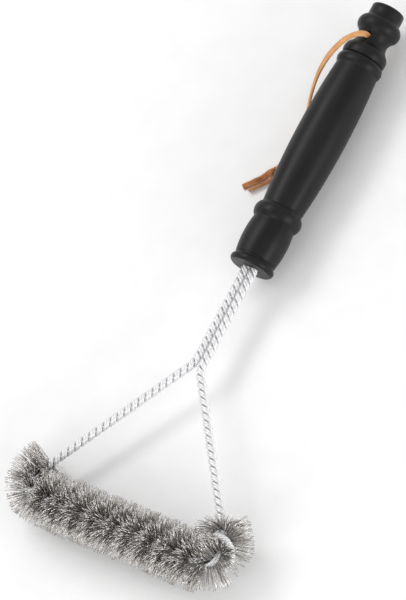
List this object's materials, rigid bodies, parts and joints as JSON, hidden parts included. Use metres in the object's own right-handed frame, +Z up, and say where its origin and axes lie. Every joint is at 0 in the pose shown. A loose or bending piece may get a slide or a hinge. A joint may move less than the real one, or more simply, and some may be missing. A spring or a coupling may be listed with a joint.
{
  "type": "grill cleaning brush",
  "caption": "Long grill cleaning brush: turned plastic handle, twisted wire frame that opens into a triangle, two bristled rows across the head, leather hanging lace.",
  "frame": {"origin": "on the floor under the middle of the brush, which lies flat on its bristles; the handle's axis runs at y = 5 mm and z = 18.3 mm", "axes": "+X along the handle from the head to the knob, +Y towards the left arm, +Z up, square to the plane of the wire triangle"},
  "size_m": [0.3253, 0.1466, 0.0366],
  "materials": {
    "handle_plastic": "satin black, slightly worn",
    "wire": "bright galvanised, drawn wire",
    "bristle": "fine grey-brown steel bristle wire",
    "lace": "tan flat lace with raw suede edges"
  },
  "bodies": {
    "brush": {"handle": "handle_plastic", "left_shank": "wire", "right_shank": "wire", "left_fork": "wire", "right_fork": "wire", "left_arm": "wire", "right_arm": "wire", "left_bend": "wire", "right_bend": "wire", "top_row_core": "wire", "bottom_row_core": "wire", "top_row_hook": "wire", "bottom_row_hook": "wire", "top_row_bristles": "bristle", "bottom_row_bristles": "bristle", "left_end_bristles": "bristle", "right_end_bristles": "bristle"},
    "lace_loop": {"lace_front": "lace", "lace_back": "lace", "lace_knot": "lace", "lace_tail_wide": "lace", "lace_tail_thin": "lace"}
  },
  "joints": [
    {"name": "loop_swing", "type": "hinge", "parent": "brush", "child": "lace_loop", "pos_m": [0.14315, 0.005, 0.0183], "axis": [0, 0, -1], "range_deg": [0, 110]}
  ]
}
